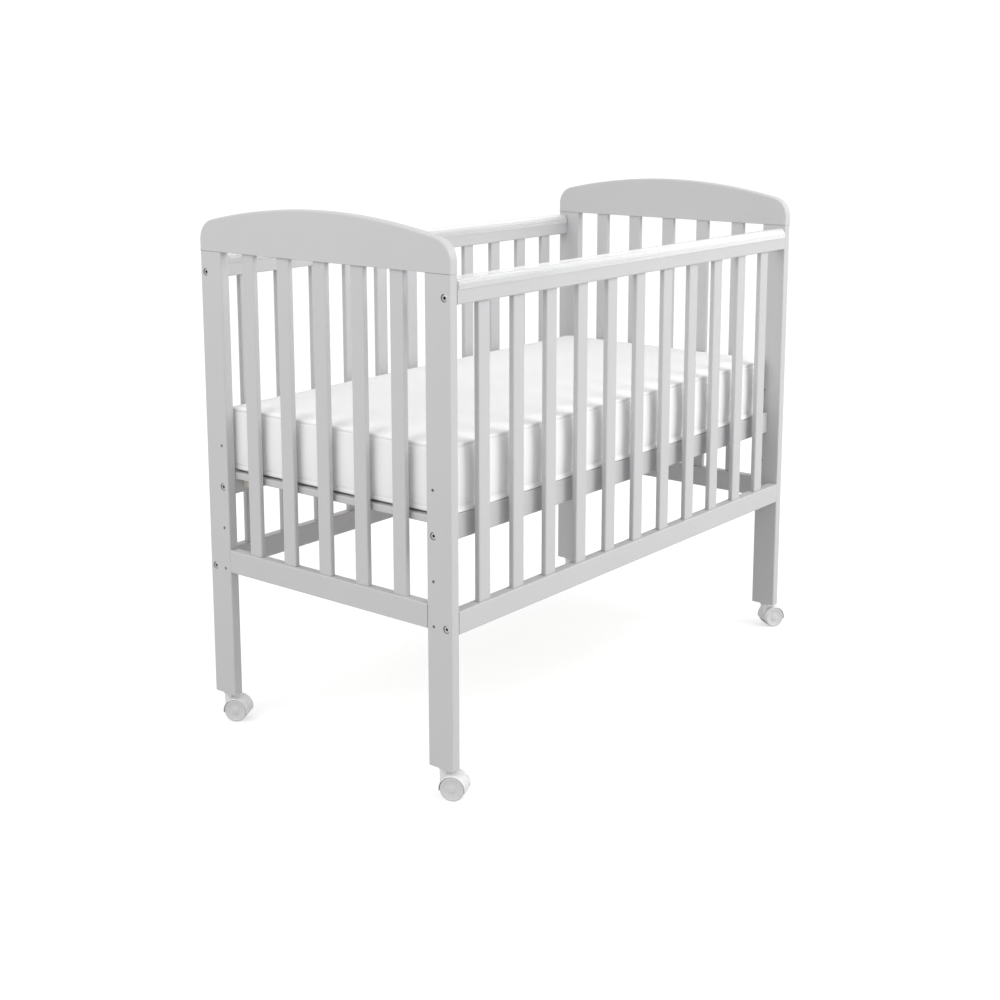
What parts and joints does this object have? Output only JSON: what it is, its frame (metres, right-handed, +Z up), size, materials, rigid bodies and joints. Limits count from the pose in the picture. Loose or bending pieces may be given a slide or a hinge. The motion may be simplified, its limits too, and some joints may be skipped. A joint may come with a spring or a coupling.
{
  "type": "baby crib",
  "caption": "Slatted baby crib with arched solid end boards, fixed slatted sides with teething rails, a bolted height-adjustable base, a mattress and swivelling castors.",
  "frame": {"origin": "bottom centre of the whole object's bounding box, on the floor that the castors stand on; the middle of the wooden frame is at x -0.0118 m, y 0.0075 m, because the castors rest swivelled to one side", "axes": "+X along the crib's length towards the right-hand end, +Y across it from the front side to the rear side, +Z up"},
  "size_m": [1.0808, 0.5729, 0.916],
  "materials": {
    "grey_paint": "satin",
    "white_plastic": "gloss",
    "clear_plastic": "gloss",
    "bare_pine": "matte",
    "mattress_cover": "matte"
  },
  "bodies": {
    "crib_frame": {"left_end_top_board": "grey_paint", "left_end_front_post": "grey_paint", "left_end_rear_post": "grey_paint", "left_end_bottom_rail": "grey_paint", "left_end_slat_1": "grey_paint", "left_end_slat_2": "grey_paint", "left_end_slat_3": "grey_paint", "left_end_slat_4": "grey_paint", "left_end_slat_5": "grey_paint", "right_end_top_board": "grey_paint", "right_end_front_post": "grey_paint", "right_end_rear_post": "grey_paint", "right_end_bottom_rail": "grey_paint", "right_end_slat_1": "grey_paint", "right_end_slat_2": "grey_paint", "right_end_slat_3": "grey_paint", "right_end_slat_4": "grey_paint", "right_end_slat_5": "grey_paint", "front_top_rail": "grey_paint", "front_bottom_rail": "grey_paint", "front_slat_01": "grey_paint", "front_slat_02": "grey_paint", "front_slat_03": "grey_paint", "front_slat_04": "grey_paint", "front_slat_05": "grey_paint", "front_slat_06": "grey_paint", "front_slat_07": "grey_paint", "front_slat_08": "grey_paint", "front_slat_09": "grey_paint", "front_slat_10": "grey_paint", "front_slat_11": "grey_paint", "rear_top_rail": "grey_paint", "rear_bottom_rail": "grey_paint", "rear_slat_01": "grey_paint", "rear_slat_02": "grey_paint", "rear_slat_03": "grey_paint", "rear_slat_04": "grey_paint", "rear_slat_05": "grey_paint", "rear_slat_06": "grey_paint", "rear_slat_07": "grey_paint", "rear_slat_08": "grey_paint", "rear_slat_09": "grey_paint", "rear_slat_10": "grey_paint", "rear_slat_11": "grey_paint", "base_front_rail": "grey_paint", "base_rear_rail": "grey_paint", "base_left_bar": "grey_paint", "base_right_bar": "grey_paint", "base_slats": "bare_pine", "front_teething_rail": "clear_plastic", "rear_teething_rail": "clear_plastic"},
    "mattress": {"mattress": "mattress_cover"},
    "front_left_castor_hood": {"front_left_castor_hood": "white_plastic"},
    "front_left_castor_wheels": {"front_left_castor_wheels": "white_plastic"},
    "rear_left_castor_hood": {"rear_left_castor_hood": "white_plastic"},
    "rear_left_castor_wheels": {"rear_left_castor_wheels": "white_plastic"},
    "front_right_castor_hood": {"front_right_castor_hood": "white_plastic"},
    "front_right_castor_wheels": {"front_right_castor_wheels": "white_plastic"},
    "rear_right_castor_hood": {"rear_right_castor_hood": "white_plastic"},
    "rear_right_castor_wheels": {"rear_right_castor_wheels": "white_plastic"}
  },
  "joints": [
    {"name": "mattress_lift", "type": "slide", "parent": "crib_frame", "child": "mattress", "axis": [0, 0, 1], "range_m": [0, 0.4]},
    {"name": "front_left_castor_swivel", "type": "hinge", "parent": "crib_frame", "child": "front_left_castor_hood", "pos_m": [-0.5228, -0.2445, 0.05], "axis": [0, 0, 1], "continuous": true},
    {"name": "front_left_castor_spin", "type": "hinge", "parent": "front_left_castor_hood", "child": "front_left_castor_wheels", "pos_m": [-0.51604, -0.259, 0.02], "axis": [0.9063, 0.4226, 0], "continuous": true},
    {"name": "rear_left_castor_swivel", "type": "hinge", "parent": "crib_frame", "child": "rear_left_castor_hood", "pos_m": [-0.5228, 0.2595, 0.05], "axis": [0, 0, 1], "continuous": true},
    {"name": "rear_left_castor_spin", "type": "hinge", "parent": "rear_left_castor_hood", "child": "rear_left_castor_wheels", "pos_m": [-0.51529, 0.24537, 0.02], "axis": [0.8829, 0.4695, 0], "continuous": true},
    {"name": "front_right_castor_swivel", "type": "hinge", "parent": "crib_frame", "child": "front_right_castor_hood", "pos_m": [0.4992, -0.2445, 0.05], "axis": [0, 0, 1], "continuous": true},
    {"name": "front_right_castor_spin", "type": "hinge", "parent": "front_right_castor_hood", "child": "front_right_castor_wheels", "pos_m": [0.51277, -0.25298, 0.02], "axis": [0.5299, 0.848, 0], "continuous": true},
    {"name": "rear_right_castor_swivel", "type": "hinge", "parent": "crib_frame", "child": "rear_right_castor_hood", "pos_m": [0.4992, 0.2595, 0.05], "axis": [0, 0, 1], "continuous": true},
    {"name": "rear_right_castor_spin", "type": "hinge", "parent": "rear_right_castor_hood", "child": "rear_right_castor_wheels", "pos_m": [0.50948, 0.24724, 0.02], "axis": [0.766, 0.6428, 0], "continuous": true}
  ]
}
